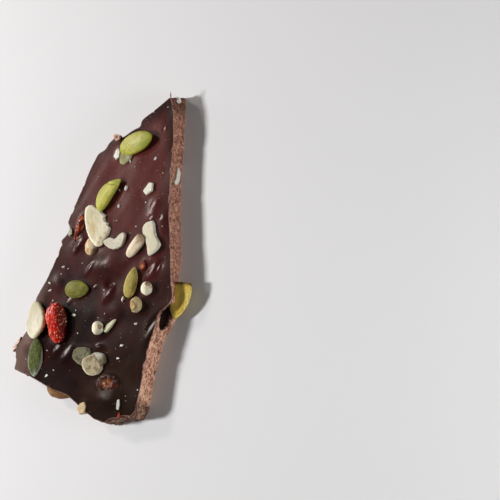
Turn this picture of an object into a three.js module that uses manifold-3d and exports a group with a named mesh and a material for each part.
// A broken piece of dark chocolate thin, lying flat with its topped face up.
// Millimetres, +Z up. The underside is the plane z = 0 and the origin is under the middle of the piece.
// +Y runs along the longest way of the piece, from its foot to its narrow top.
import * as THREE from "three";
import { mergeVertices } from "three/addons/utils/BufferGeometryUtils.js";
import Module from "manifold-3d";

// Driving dimensions
const THICKNESS = 7.4; // cast thickness under the smooth top
const FOOT_SWELL = 0.004; // gain in thickness for each millimetre towards the foot
const GAP = 0.3; // clearance between a topping and the chocolate around it
const STATION = 2.8; // spacing of the points along the broken edge
const WALL_STEP = 2.6; // spacing of the levels up the broken edge
const RELIEF_STEP = 2.8; // grid of the top face
const MARGIN = 5; // how far the uncut blank reaches past the outline
const ROUGHNESS = 0.25; // depth of the crumbly break
const MIDDLE = [0.1, 1.4]; // where the middle of the piece lies in the coordinates below

// Corners of the top face's broken outline, anticlockwise from the narrow top
const OUTLINE = [
  [17.0, 59.6],
  // upper left break, with its two small steps
  [10.5, 54.6],
  [6.4, 51.8],
  [4.0, 48.4],
  [-2.4, 44.6],
  [-5.2, 45.6],
  [-8.2, 42.8],
  [-12.0, 39.2],
  [-14.2, 33.5],
  // left break, with a bite and a shoulder
  [-17.6, 23.4],
  [-21.0, 12.6],
  [-19.4, 10.4],
  [-20.2, 8.0],
  [-22.6, 5.6],
  [-22.6, 1.6],
  [-26.6, -10.0],
  [-29.6, -16.0],
  [-31.6, -28.8],
  [-35.3, -33.4],
  [-35.2, -37.4],
  [-34.0, -39.8],
  [-34.4, -43.2],
  // foot
  [-25.0, -45.8],
  [-16.6, -49.0],
  [-7.6, -51.0],
  [-1.6, -54.6],
  [5.4, -58.4],
  [10.2, -59.4],
  [13.0, -57.8],
  [21.0, -56.6],
  [22.6, -54.0],
  // right break, up past the shoulder
  [23.2, -42.0],
  [24.3, -31.0],
  [26.4, -20.4],
  [29.8, -17.0],
  [30.8, -14.6],
  [29.2, -8.6],
  [24.3, 14.8],
  [22.1, 30.6],
  [21.4, 42.6],
  [19.6, 53.0],
];

// How far the underside reaches past the top face in the right break: middle along y, reach, distance
const LEANS = [
  [62, 8, 2.2],
  [-8, 6, -1.6],
  [-21, 5.5, 2.2],
];
const TOP_LEAN = 2.7; // how far the underside reaches past the narrow top along y

// Swells and dimples of the top face: x, y, reach along x, reach along y, height
const SWELLS = [
  [17.4, 18.0, 2.6, 3.6, 0.75],
  [17.2, 13.8, 2.2, 2.2, 0.6],
  [22.0, 13.2, 2.0, 2.6, 0.55],
  [-13.0, 4.4, 2.4, 3.6, 0.8],
  [-7.2, -4.4, 3.4, 3.2, 0.7],
  [1.4, -4.6, 4.6, 3.2, 0.45],
  [3.2, -14.0, 2.2, 2.4, 0.7],
  [2.6, -10.6, 1.5, 1.7, -0.9],
  [20.8, -5.4, 2.0, 3.2, 0.85],
  [23.6, -3.0, 1.3, 1.6, -0.8],
  [-20.6, -10.4, 3.0, 3.0, 0.4],
  [22.6, -28.8, 2.2, 4.2, 0.65],
  [-10.4, -37.2, 2.8, 3.6, 0.8],
  [-14.8, -34.2, 2.2, 3.0, 0.75],
  [-18.4, -33.4, 2.4, 3.4, 0.6],
  [10.2, -50.2, 5.2, 3.4, 0.85],
  [-27.0, -33.0, 4.6, 3.4, 0.5],
  [16.4, 47.2, 2.4, 3.0, 0.45],
  [7.0, -20.6, 3.6, 3.0, 0.35],
  [-1.0, 52.0, 3.0, 3.0, 0.3],
];

// Loose pieces on the top face and in the broken edge. Each one lies over those after it.
// at: x, y and the height of its middle over the chocolate; turn, pitch and roll are in degrees;
// size: length, width, thickness; tip: how pointed the +X end of a seed is; belly: how far its widest place
// lies towards that end; bend: how far its ends curve aside; taper: how much a kernel narrows towards +X;
// blunt: how full its ends are; edge: the corners of a cut slice, measured from its middle;
// curl: how far its two ends turn up.
const TOPPINGS = [
  { name: "pumpkin_seed_1", kind: "seed", at: [5.8, 42.0, 1.5], turn: 17, pitch: -4, roll: 3,
    size: [14.8, 8.0, 2.6], tip: 0.1 },
  { name: "pumpkin_seed_2", kind: "seed", at: [1.4, 38.7, 0.1], turn: 248, pitch: 4, roll: 6,
    size: [9.6, 6.2, 2.2], tip: 0.1 },
  { name: "pumpkin_seed_3", kind: "seed", at: [-3.9, 23.4, 1.3], turn: 56, roll: -4,
    size: [14.2, 6.6, 2.5], tip: 0.3, bend: 1.8 },
  { name: "almond_flake_1", kind: "slice", at: [-6.1, 11.2, 0.5], turn: 110, pitch: -3, roll: 4,
    size: [17.4, 10.4, 1.7], curl: 0.5,
    edge: [[8.1, 3.5], [6.1, 4.4], [1.9, 5.2], [-2.9, 4.6], [-5.1, 3.6], [-7.9, 2.1], [-8.7, -0.2],
      [-7.0, -2.3], [-3.3, -5.2], [-1.6, -4.6], [1.9, -4.5], [6.9, -1.5], [8.7, 1.3]] },
  { name: "sunflower_kernel_1", kind: "kernel", at: [-8.2, 3.6, -0.2], turn: 118, pitch: 4,
    size: [7.6, 5.2, 2.8] },
  { name: "almond_flake_2", kind: "slice", at: [3.1, 4.8, 0.5], turn: 14, pitch: 4, roll: 8,
    size: [9.8, 5.4, 1.5], curl: 0.3,
    edge: [[4.0, 2.8], [2.9, 2.7], [1.6, 1.9], [0.0, 1.3], [-2.1, 2.3], [-4.9, 1.3], [-4.4, 0.0],
      [-3.0, -1.5], [-1.0, -2.6], [1.1, -2.8], [2.6, -2.2], [3.8, -0.9], [4.6, 0.8], [4.9, 1.7]] },
  { name: "almond_flake_3", kind: "slice", at: [18.8, 6.0, 0.6], turn: 99, pitch: 2, roll: -6,
    size: [13.2, 8.4, 1.6], curl: 0.3,
    edge: [[4.9, 4.2], [3.5, 4.2], [1.6, 3.5], [-0.5, 2.5], [-3.0, 1.8], [-6.6, 1.0], [-5.7, -1.7],
      [-4.4, -3.4], [-3.0, -4.2], [-1.3, -3.2], [0.7, -2.0], [2.8, -1.4], [6.5, -1.0], [6.6, 1.3],
      [6.2, 3.1]] },
  { name: "sunflower_kernel_2", kind: "kernel", at: [12.2, 3.2, 0.9], turn: 232, pitch: 4,
    size: [9.4, 4.6, 3.0], taper: 0.15, blunt: 0.6 },
  { name: "pumpkin_seed_4", kind: "seed", at: [13.2, -10.0, 1.2], turn: 86, pitch: 2, roll: 16,
    size: [11.2, 4.6, 2.4], tip: 0.3 },
  { name: "pumpkin_seed_5", kind: "seed", at: [-10.8, -12.8, 0.7], turn: 1, roll: 6,
    size: [10.6, 6.6, 2.4], tip: 0.15 },
  { name: "goji_berry", kind: "berry", at: [-16.6, -25.6, 1.9], turn: 106, pitch: -3,
    size: [15.4, 8.8, 5.4] },
  { name: "almond_flake_4", kind: "slice", at: [-26.8, -24.8, 1.2], turn: 279, pitch: -4, roll: 6,
    size: [14.6, 9.4, 1.7], curl: 0.5,
    edge: [[6.8, -1.3], [7.3, 0.7], [6.2, 1.9], [4.8, 3.5], [2.8, 4.6], [0.0, 4.7], [-2.5, 3.9],
      [-4.7, 2.7], [-6.7, 1.1], [-7.3, -0.4], [-7.1, -1.9], [-5.4, -3.1], [-2.3, -4.1], [0.4, -4.7],
      [2.9, -4.3], [5.0, -3.2]] },
  { name: "pumpkin_seed_6", kind: "seed", at: [-24.8, -38.4, 0.5], turn: 275, pitch: 4, roll: -6,
    size: [14.0, 6.2, 2.3], tip: 0.4, belly: 0.3 },
  { name: "almond_flake_5", kind: "slice", at: [2.7, -39.0, 1.0], turn: 48, pitch: 2, roll: 8,
    size: [9.6, 8.8, 1.6], curl: 0.2,
    edge: [[3.8, 1.7], [2.1, 2.9], [-0.1, 3.5], [-2.2, 4.4], [-4.0, 3.1], [-4.7, 1.1], [-4.8, -1.2],
      [-3.3, -3.2], [-1.2, -4.4], [0.8, -3.8], [2.0, -2.9], [3.3, -3.2], [4.6, -1.8], [4.8, -0.1]] },
  { name: "almond_flake_6", kind: "slice", at: [-3.5, -36.5, 0.4], turn: -38,
    size: [8.4, 7.2, 1.5], curl: 0.2,
    edge: [[4.2, 1.6], [3.2, 2.7], [0.4, 3.6], [-1.5, 2.7], [-3.5, 0.7], [-4.2, -1.2], [-2.9, -3.3],
      [-1.7, -3.6], [0.6, -3.4], [2.6, -2.6], [4.2, -0.9]] },
  { name: "dried_cherry", kind: "cherry", at: [9.1, -45.6, -0.9], turn: 4, roll: 8, size: [10.6, 7.6, 4.4] },
  { name: "cranberry_strip", kind: "kernel", at: [-14.8, 10.0, -0.2], turn: 260, size: [11.4, 3.8, 2.6] },
  { name: "pumpkin_seed_7", kind: "snapped", at: [31.4, -14.2, -3.6], turn: 259, pitch: 3, roll: -8,
    size: [15.0, 7.8, 2.2], tip: 0.3 },
  { name: "almond_in_skin", kind: "kernel", at: [-14.0, -48.8, -3.5], turn: -14, roll: 6,
    size: [12.6, 6.8, 3.4] },
];

// What is fused to the chocolate: puffed grains, and slivers of nut on the face and in the break
const FUSED = [
  { kind: "grain", at: [20.2, -12.0, 1.4], turn: 108, size: [4.9, 4.2, 4.0] },
  { kind: "grain", at: [17.0, -18.0, 1.5], turn: 97, size: [5.6, 4.4, 4.2] },
  { kind: "grain", at: [1.8, -26.6, 1.3], turn: 99, size: [5.2, 4.4, 4.0] },
  { kind: "chip", at: [-2.5, 38.4, 0.2], turn: 82, size: [4.8, 2.6, 1.6] },
  { kind: "slice", at: [13.8, 24.4, 0.3], turn: 63, size: [5.6, 4.6, 1.4],
    edge: [[2.9, -0.5], [2.4, 1.0], [-1.6, 1.6], [-2.4, -0.6], [0.2, -2.1]] },
  { kind: "slice", at: [6.2, -25.6, 0.5], turn: 49, size: [7.6, 2.1, 1.4],
    edge: [[4.2, -0.2], [0.2, 0.8], [-3.2, 0.5], [-2.5, -1.0], [0.4, -1.1]] },
  { kind: "chip", at: [16.6, -3.6, 0.1], turn: 80, size: [4.2, 2.6, 1.6] },
  { kind: "chip", at: [15.3, -52.6, 0.2], turn: 93, size: [3.4, 1.8, 1.2] },
  { kind: "chip", at: [-3.9, 44.9, 0.1], turn: 150, size: [4.0, 2.8, 1.8] },
  { kind: "chip", at: [-18.4, 8.8, 0.2], turn: 91, size: [3.4, 2.0, 1.4] },
  { kind: "chip", at: [22.3, 30.4, -4.0], turn: 97, pitch: 15, size: [7.8, 1.8, 2.2] },
  { kind: "chip", at: [-0.3, -54.8, -0.9], turn: 70, size: [5.0, 4.0, 3.0] },
  { kind: "chip", at: [-34.9, -33.8, -0.5], turn: 64, size: [6.4, 1.8, 1.8] },
  { kind: "chip", at: [18.2, 59.5, -3.3], turn: 100, size: [2.6, 1.8, 2.2] },
];

// Crumbs of nut on the top face: x, y, length
const CRUMBS = [
  [14.6, 36.0, 1.9],
  [3.6, 35.4, 1.7],
  [0.6, 24.6, 1.7],
  [3.8, 25.0, 2.1],
  [1.6, 18.4, 1.9],
  [10.2, -15.8, 2.6],
  [-10.4, -22.2, 2.4],
  [-23.6, -13.4, 1.8],
  [-24.4, -10.6, 1.6],
  [-18.6, -44.6, 1.8],
  [-19.2, -4.4, 1.7],
  [12.8, -32.2, 2.0],
  [12.0, -36.8, 1.9],
  [17.2, -24.4, 1.8],
];

// The mould that a lost seed left in the right break, below pumpkin_seed_7
const LOST_SEED = { kind: "seed", at: [27.5, -19.4, -3.5], turn: 257, size: [13.6, 5.2, 5.6], tip: 0.3 };

const MATERIALS = {
  chocolate: new THREE.MeshStandardMaterial({ color: 0x3a2020, roughness: 0.34, metalness: 0 }),
  seed: new THREE.MeshStandardMaterial({ color: 0x8f9a3c, roughness: 0.5, metalness: 0 }),
  nut: new THREE.MeshStandardMaterial({ color: 0xe2d9b8, roughness: 0.6, metalness: 0 }),
  skin: new THREE.MeshStandardMaterial({ color: 0x8a5a34, roughness: 0.6, metalness: 0 }),
  berry: new THREE.MeshStandardMaterial({ color: 0xb81c16, roughness: 0.42, metalness: 0 }),
  cherry: new THREE.MeshStandardMaterial({ color: 0x4a1410, roughness: 0.35, metalness: 0 }),
};

const wasm = await Module();
wasm.setup();

// A slow, repeatable ripple between -1 and 1, from three sines that never line up
function ripple(u, v, w) {
  const a = Math.sin(u * 1.1 + 1.7 * Math.sin(v * 0.63 + w * 0.9) + 0.4);
  const b = Math.sin(v * 1.37 - 1.3 * Math.sin(u * 0.71 - w * 1.2) + 2.1);
  const c = Math.sin(w * 1.9 + 1.1 * Math.sin(u * 0.93 + v * 0.57) + 4.4);
  return (a + b + c) / 3;
}

const bump = (x, reach) => Math.exp(-((x / reach) ** 2));

// Height of the top face at a place, with its swells and dimples
function surface(x, y) {
  let z = THICKNESS - FOOT_SWELL * y + 0.16 * ripple(x * 0.28, y * 0.28, 0);
  for (const [cx, cy, rx, ry, rise] of SWELLS) {
    z += rise * bump(x - cx, rx) * bump(y - cy, ry);
  }
  return z;
}

// The outline with a point every STATION or less
function outlineShape() {
  const points = [];
  OUTLINE.forEach(([x, y], i) => {
    const [nx, ny] = OUTLINE[(i + 1) % OUTLINE.length];
    const parts = Math.max(1, Math.round(Math.hypot(nx - x, ny - y) / STATION));
    for (let k = 0; k < parts; k++) {
      points.push(new THREE.Vector2(x + ((nx - x) * k) / parts, y + ((ny - y) * k) / parts));
    }
  });
  return new THREE.Shape(points);
}

// How far a point of the break moves sideways: crumbly, and leaning in or out towards the underside
function breakShift(x, y, z) {
  const depth = THREE.MathUtils.clamp((THICKNESS - z) / THICKNESS, 0, 1);
  const rough = ROUGHNESS * THREE.MathUtils.smoothstep(depth, 0, 0.2);
  const side = THREE.MathUtils.smoothstep(x, 6, 16);
  const lean = LEANS.reduce((sum, [at, reach, far]) => sum + far * bump(y - at, reach), 0);
  return [
    side * lean * depth + rough * ripple(x * 1.3, y * 1.3, z * 0.9),
    TOP_LEAN * THREE.MathUtils.smoothstep(y, 54, 60) * depth + rough * ripple(y * 1.2 + 5, x * 1.4, z * 1.1 + 3),
  ];
}

// Runs a function over every vertex of a geometry: it gets a Vector3 and changes it
function warp(geometry, change) {
  const p = geometry.getAttribute("position");
  const v = new THREE.Vector3();
  for (let i = 0; i < p.count; i++) {
    change(v.fromBufferAttribute(p, i));
    p.setXYZ(i, v.x, v.y, v.z);
  }
  return geometry;
}

// The chocolate's outline as a tall rough-walled prism, from just under the underside
function breakPrism() {
  const steps = 5;
  const options = { depth: steps * WALL_STEP, steps, bevelEnabled: false };
  const prism = new THREE.ExtrudeGeometry(outlineShape(), options).translate(0, 0, -WALL_STEP);
  return warp(prism, (v) => {
    const [dx, dy] = breakShift(v.x, v.y, v.z);
    v.x += dx;
    v.y += dy;
  });
}

// The rectangle that holds the outline with room to spare: its sides and its middle
function blankRectangle() {
  const box = new THREE.Box2().setFromPoints(OUTLINE.map(([x, y]) => new THREE.Vector2(x, y)));
  return [box.getSize(new THREE.Vector2()).addScalar(2 * MARGIN), box.getCenter(new THREE.Vector2())];
}

// The uncut sheet of chocolate, with the top face's relief. It reaches below the underside.
function reliefBlank() {
  const [size, middle] = blankRectangle();
  const [nx, ny] = [size.x, size.y].map((s) => Math.round(s / RELIEF_STEP));
  const blank = new THREE.BoxGeometry(size.x, size.y, 2, nx, ny, 1).translate(middle.x, middle.y, 0);
  return warp(blank, (v) => {
    v.z = v.z > 0 ? surface(v.x, v.y) : -1;
  });
}

// Everything over the flat underside
function overUnderside() {
  const [size, middle] = blankRectangle();
  return new THREE.BoxGeometry(size.x, size.y, 30).translate(middle.x, middle.y, 15);
}

// A unit ball with its poles on the X axis, for what is long
const longBall = (around, along) => new THREE.SphereGeometry(1, around, along).rotateZ(-Math.PI / 2);

// A unit ball with its poles on the Z axis, for what is flat
const flatBall = (around, layers) => new THREE.SphereGeometry(1, around, layers).rotateX(Math.PI / 2);

// A hulled seed: a flat oval, its +X end drawn out by tip and both ends bent aside by bend
function seedGeometry({ size: [length, width, height], tip = 0.2, belly = 0, bend = 0 }) {
  return warp(longBall(12, 9), (v) => {
    const taper = 1 + (belly - 0.6 * tip) * v.x - tip * Math.max(0, v.x) ** 3;
    const y = v.y * taper * (width / 2) - bend * v.x * v.x;
    v.set((v.x * length) / 2, y, (v.z * taper * height) / 2);
  });
}

// A seed snapped across near its blunt end, with its rims cupped upwards
function snappedGeometry({ size: [length, width, height], tip }) {
  const snap = -0.74;
  return warp(seedGeometry({ size: [2, 2, 2], tip }), (v) => {
    const kept = Math.max(v.x, snap - 0.1 * v.y);
    v.set((kept * length) / 2, (v.y * width) / 2, (v.z * height) / 2 + 0.5 * v.y * v.y);
  });
}

// A kernel: plump, wide at one end and narrower at the other
function kernelGeometry({ size: [length, width, height], taper = 0.34, blunt = 0 }) {
  return warp(longBall(10, 8), (v) => {
    const bulge = (1 - taper * v.x) * (1 + blunt * v.x ** 4) * (1 + 0.06 * ripple(v.x * 4, v.y * 3, v.z * 3));
    v.set((v.x * length) / 2, (v.y * bulge * width) / 2, (v.z * bulge * height) / 2);
  });
}

// A puffed grain: a small round body
function grainGeometry({ size: [length, width, height] }) {
  return longBall(9, 6).scale(length / 2, width / 2, height / 2);
}

// How far a closed line of corners round the middle reaches in the direction (dx, dy)
function reachOf(corners, dx, dy) {
  let far = 0;
  corners.forEach(([x, y], i) => {
    const [nx, ny] = corners[(i + 1) % corners.length];
    const facing = dx * (ny - y) - dy * (nx - x);
    const share = (x * dy - y * dx) / facing;
    if (share >= 0 && share <= 1) {
      far = Math.max(far, (x * (ny - y) - y * (nx - x)) / facing);
    }
  });
  return far;
}

// A thin cut slice of nut, flat with its edge worn round
function sliceGeometry({ size: [length, , height], edge, curl = 0, grow = 0 }) {
  return warp(flatBall(24, 6), (v) => {
    const out = Math.hypot(v.x, v.y);
    const reach = out > 0.001 ? reachOf(edge, v.x / out, v.y / out) + grow : 0;
    const flat = Math.sign(v.z) * Math.min(1, Math.abs(v.z) * 2.4);
    const x = v.x * reach;
    v.set(x, v.y * reach, (flat * height) / 2 + curl * ((2 * x) / length) ** 2);
  });
}

// A dried berry: long, wrinkled in shallow folds
function berryGeometry({ size: [length, width, height] }) {
  return warp(longBall(20, 14), (v) => {
    const fold = 1 + 0.07 * ripple(v.x * 5, v.y * 5 + 1, v.z * 5) + 0.05 * ripple(v.z * 9, v.x * 10, v.y * 8);
    const waist = 1 - 0.1 * bump(v.x + 0.15, 0.35) + 0.12 * v.x;
    v.set((v.x * length) / 2, (v.y * fold * waist * width) / 2, (v.z * fold * waist * height) / 2);
  });
}

// A sunken dried cherry: an oval cushion with its middle fallen in
function cherryGeometry({ size: [length, width, height] }) {
  return warp(flatBall(16, 10), (v) => {
    const fold = 1 + 0.05 * ripple(v.x * 6, v.y * 6, v.z * 4);
    const dip = v.z > 0 ? 0.45 * bump(Math.hypot(v.x, v.y), 0.5) : 0;
    v.set((v.x * fold * length) / 2, (v.y * fold * width) / 2, ((v.z - dip) * height) / 2);
  });
}

// A chip of nut with cut corners
function chipGeometry({ size: [length, width, height] }) {
  return warp(flatBall(6, 4), (v) => {
    const flat = Math.sign(v.z) * Math.min(1, Math.abs(v.z) * 1.8);
    v.set((v.x * length) / 2, (v.y * (1 - 0.35 * v.x) * width) / 2, (flat * height) / 2);
  });
}

const FORMS = {
  seed: seedGeometry,
  snapped: snappedGeometry,
  kernel: kernelGeometry,
  grain: grainGeometry,
  berry: berryGeometry,
  cherry: cherryGeometry,
  chip: chipGeometry,
  slice: sliceGeometry,
};

const FINISH = {
  seed: MATERIALS.seed,
  snapped: MATERIALS.seed,
  berry: MATERIALS.berry,
  cherry: MATERIALS.cherry,
  almond_in_skin: MATERIALS.skin,
  cranberry_strip: MATERIALS.cherry,
};

// A mesh of one topping, grown outwards on every side by grow
function toppingMesh(row, grow = 0) {
  const { name = "", kind, at, turn = 0, pitch = 0, roll = 0, size } = row;
  const grown = { ...row, grow, size: size.map((s) => s + 2 * grow) };
  const mesh = new THREE.Mesh(FORMS[kind](grown), FINISH[name] ?? FINISH[kind] ?? MATERIALS.nut);
  const [rx, ry, rz] = [roll, pitch, turn].map(THREE.MathUtils.degToRad);
  mesh.name = name;
  mesh.position.set(at[0], at[1], surface(at[0], at[1]) + at[2]);
  mesh.rotation.set(rx, ry, rz, "ZYX");
  mesh.updateMatrixWorld();
  return mesh;
}

// The closed solid of a geometry, placed by a matrix
function solidOf(geometry, matrix = new THREE.Matrix4()) {
  const bare = new THREE.BufferGeometry();
  const source = geometry.index ? geometry.toNonIndexed() : geometry;
  bare.setAttribute("position", source.getAttribute("position").clone());
  const merged = mergeVertices(bare.applyMatrix4(matrix), 1e-4);
  return new wasm.Manifold(
    new wasm.Mesh({
      numProp: 3,
      vertProperties: merged.attributes.position.array,
      triVerts: new Uint32Array(merged.index.array),
    }),
  );
}

// A solid as a geometry, in the frame of a matrix
function geometryOf(solid, matrix = new THREE.Matrix4()) {
  const { numProp, vertProperties, triVerts } = solid.getMesh();
  const vertices = new Float32Array((vertProperties.length / numProp) * 3);
  for (let i = 0; i < vertices.length / 3; i++) {
    vertices.set(vertProperties.subarray(i * numProp, i * numProp + 3), i * 3);
  }
  const geometry = new THREE.BufferGeometry();
  geometry.setAttribute("position", new THREE.BufferAttribute(vertices, 3));
  geometry.setIndex(new THREE.BufferAttribute(new Uint32Array(triVerts), 1));
  geometry.applyMatrix4(matrix.clone().invert()).computeVertexNormals();
  return geometry;
}

const solidOfMesh = (mesh) => solidOf(mesh.geometry, mesh.matrixWorld);
const solidOfRow = (row, grow = 0) => solidOfMesh(toppingMesh(row, grow));

// A crumb of nut as a row like those of FUSED, half sunk in the top face
function crumbRow([x, y, length], index) {
  return { kind: "chip", at: [x, y, 0.1 * length], turn: 67 * index, size: [length, 0.62 * length, 0.7 * length] };
}

// The loose pieces, each cut clear of those that lie over it
function makeToppings() {
  const over = [];
  return TOPPINGS.map((row) => {
    const mesh = toppingMesh(row);
    const kept = over.reduce((solid, cutter) => solid.subtract(cutter), solidOfMesh(mesh));
    mesh.geometry = geometryOf(kept, mesh.matrixWorld);
    over.push(solidOfRow(row, GAP));
    return mesh;
  });
}

// The chocolate with the small toppings fused on, and a socket for each loose piece
function makeChocolate() {
  let solid = solidOf(reliefBlank()).intersect(solidOf(overUnderside()));
  solid = solid.intersect(solidOf(breakPrism())).subtract(solidOfRow(LOST_SEED));
  for (const row of [...FUSED, ...CRUMBS.map(crumbRow)]) {
    solid = solid.add(solidOfRow(row));
  }
  for (const row of TOPPINGS) {
    solid = solid.subtract(solidOfRow(row, GAP));
  }
  const mesh = new THREE.Mesh(geometryOf(solid), MATERIALS.chocolate);
  mesh.name = "chocolate_thin";
  return mesh;
}

const piece = new THREE.Group();
piece.position.set(-MIDDLE[0], -MIDDLE[1], 0);
piece.add(makeChocolate(), ...makeToppings());

export default piece;
